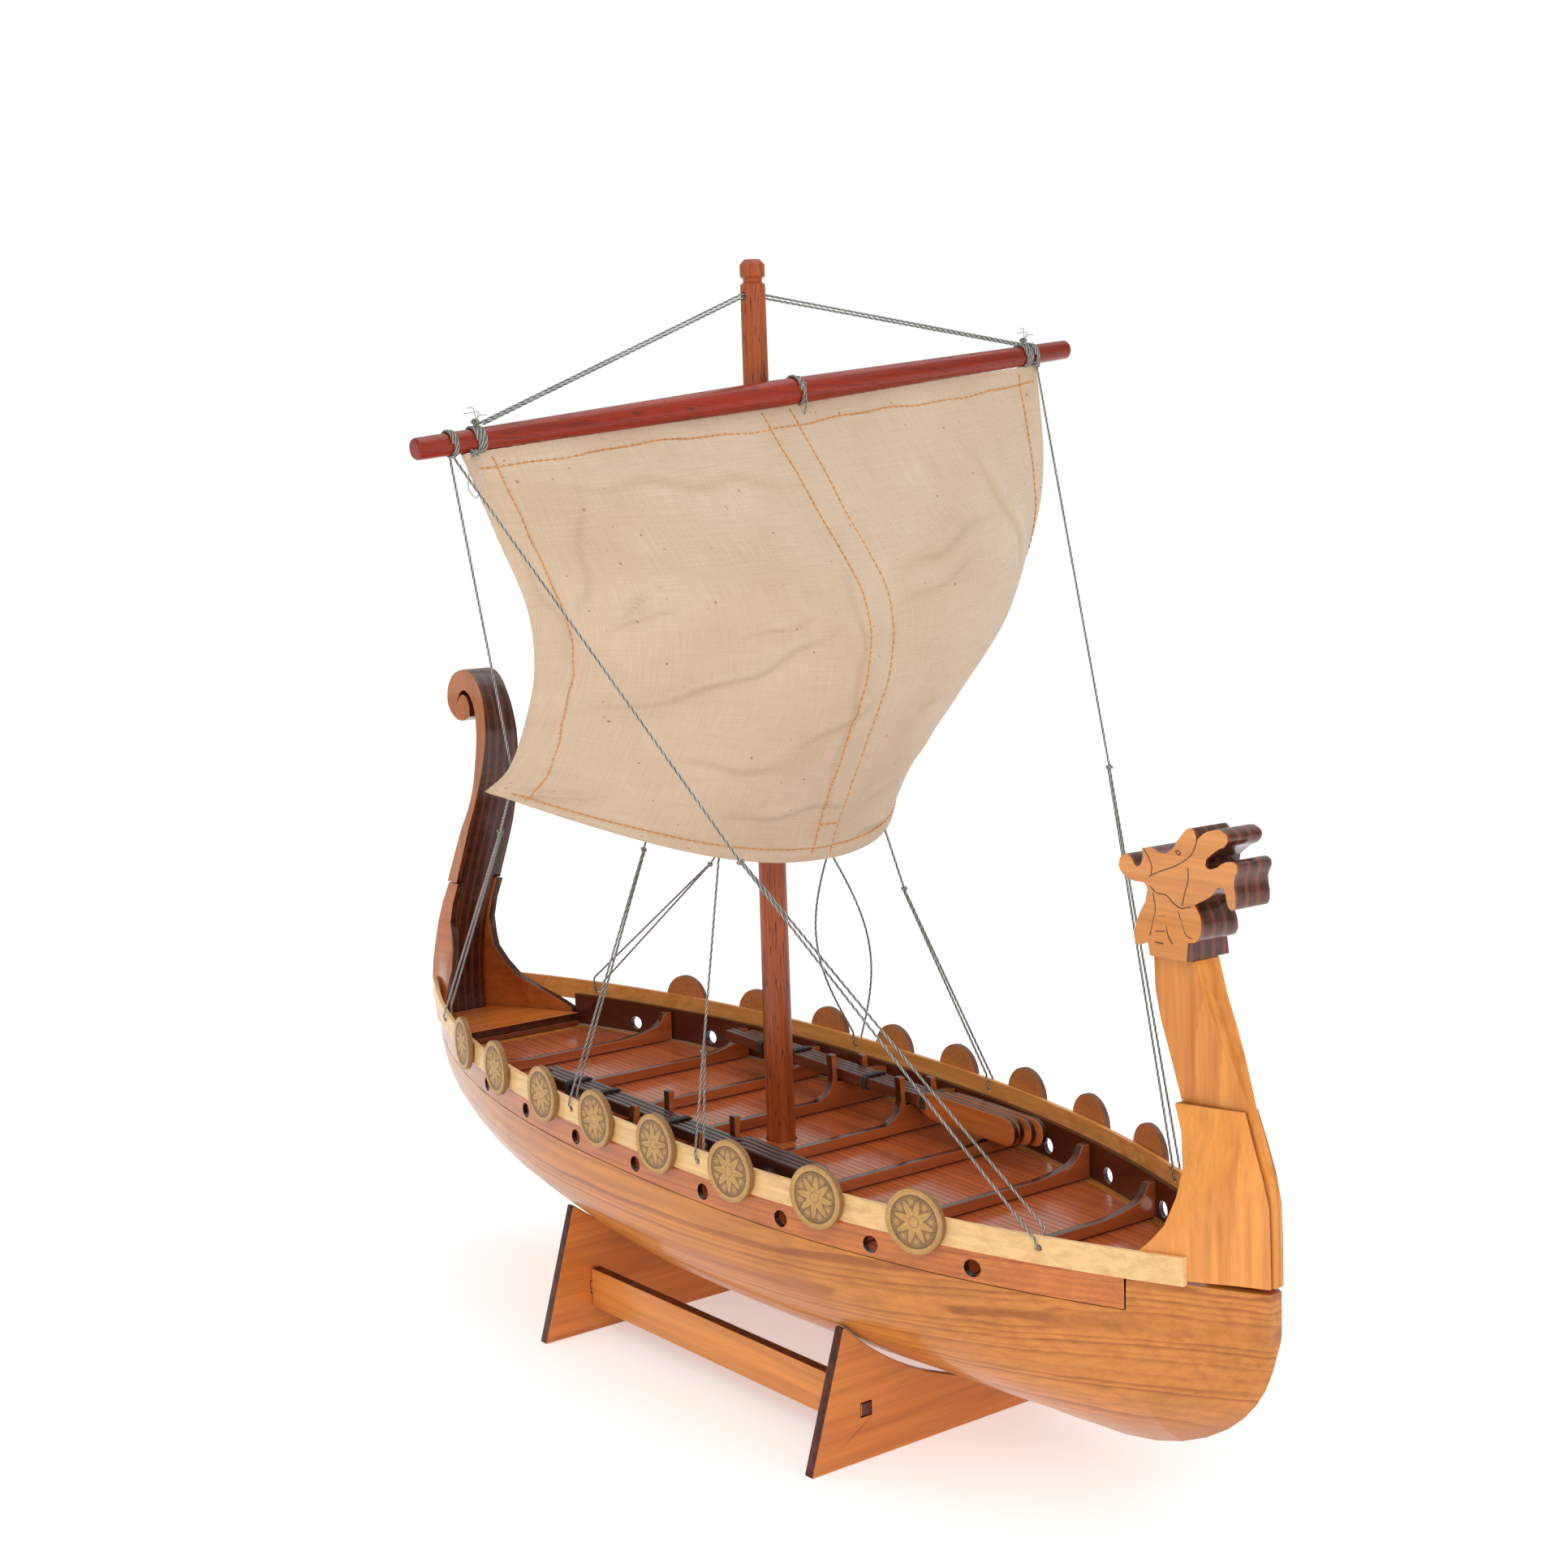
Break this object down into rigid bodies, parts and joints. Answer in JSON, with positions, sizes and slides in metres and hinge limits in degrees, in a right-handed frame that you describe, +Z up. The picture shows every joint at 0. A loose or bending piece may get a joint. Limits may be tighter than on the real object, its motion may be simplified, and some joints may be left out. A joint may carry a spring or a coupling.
{
  "type": "model sailing ship",
  "caption": "Wooden model longship with a carved beast head, scrolled stern, row of round shields, laid oars, one square sail and a cradle stand.",
  "frame": {"origin": "on the table under the middle of the ship, at the bottom centre of the bounding box", "axes": "+X to the bow, +Y to port, +Z up"},
  "size_m": [0.4379, 0.2648, 0.3682],
  "materials": {
    "varnished_pine": "satin varnish",
    "amber_ply": "satin varnish",
    "red_bulwark": "stained and varnished",
    "dark_rib": "stained and varnished",
    "deck_veneer": "stained and varnished",
    "pale_strip": "plain",
    "shield_board": "matte, engraved",
    "mahogany_spar": "satin varnish",
    "canvas": "plain weave",
    "grey_twine": "twisted thread",
    "dark_oar": "stained and varnished"
  },
  "bodies": {
    "stand": {"stand_front_plate": "amber_ply", "stand_rear_plate": "amber_ply", "stand_starboard_rail": "amber_ply", "stand_port_rail": "amber_ply"},
    "ship": {"hull": "varnished_pine", "main_deck": "deck_veneer", "stern_platform": "amber_ply", "stern_beam": "dark_rib", "starboard_bulwark": "red_bulwark", "starboard_gunwale_strip": "pale_strip", "port_bulwark": "red_bulwark", "port_gunwale_strip": "pale_strip", "rib_1": "dark_rib", "rib_2": "dark_rib", "rib_3": "dark_rib", "rib_4": "dark_rib", "rib_5": "dark_rib", "rib_6": "dark_rib", "rib_7": "dark_rib", "rib_8": "dark_rib", "bow_stem": "varnished_pine", "bow_cheek_starboard": "amber_ply", "bow_cheek_port": "amber_ply", "dragon_head": "amber_ply", "stern_post": "amber_ply", "stern_cheek_starboard": "amber_ply", "stern_cheek_port": "amber_ply", "starboard_shield_1": "shield_board", "starboard_shield_2": "shield_board", "starboard_shield_3": "shield_board", "starboard_shield_4": "shield_board", "starboard_shield_5": "shield_board", "starboard_shield_6": "shield_board", "starboard_shield_7": "shield_board", "starboard_shield_8": "shield_board", "port_shield_1": "shield_board", "port_shield_2": "shield_board", "port_shield_3": "shield_board", "port_shield_4": "shield_board", "port_shield_5": "shield_board", "port_shield_6": "shield_board", "port_shield_7": "shield_board", "port_shield_8": "shield_board", "mast": "mahogany_spar", "yard": "mahogany_spar", "sail": "canvas", "oars_starboard_inner": "dark_oar", "oars_starboard_outer": "dark_oar", "oars_port_inner": "dark_oar", "oars_port_outer": "dark_oar", "lift_upper": "grey_twine", "lift_lower": "grey_twine", "starboard_fore_brace": "grey_twine", "starboard_aft_brace": "grey_twine", "starboard_fore_shroud": "grey_twine", "starboard_aft_shroud": "grey_twine", "port_fore_brace": "grey_twine", "port_aft_brace": "grey_twine", "port_fore_shroud": "grey_twine", "port_aft_shroud": "grey_twine"}
  },
  "joints": [
    {"name": "ship_lift", "type": "slide", "parent": "stand", "child": "ship", "axis": [0, 0, 1], "range_m": [0, 0.08]}
  ]
}
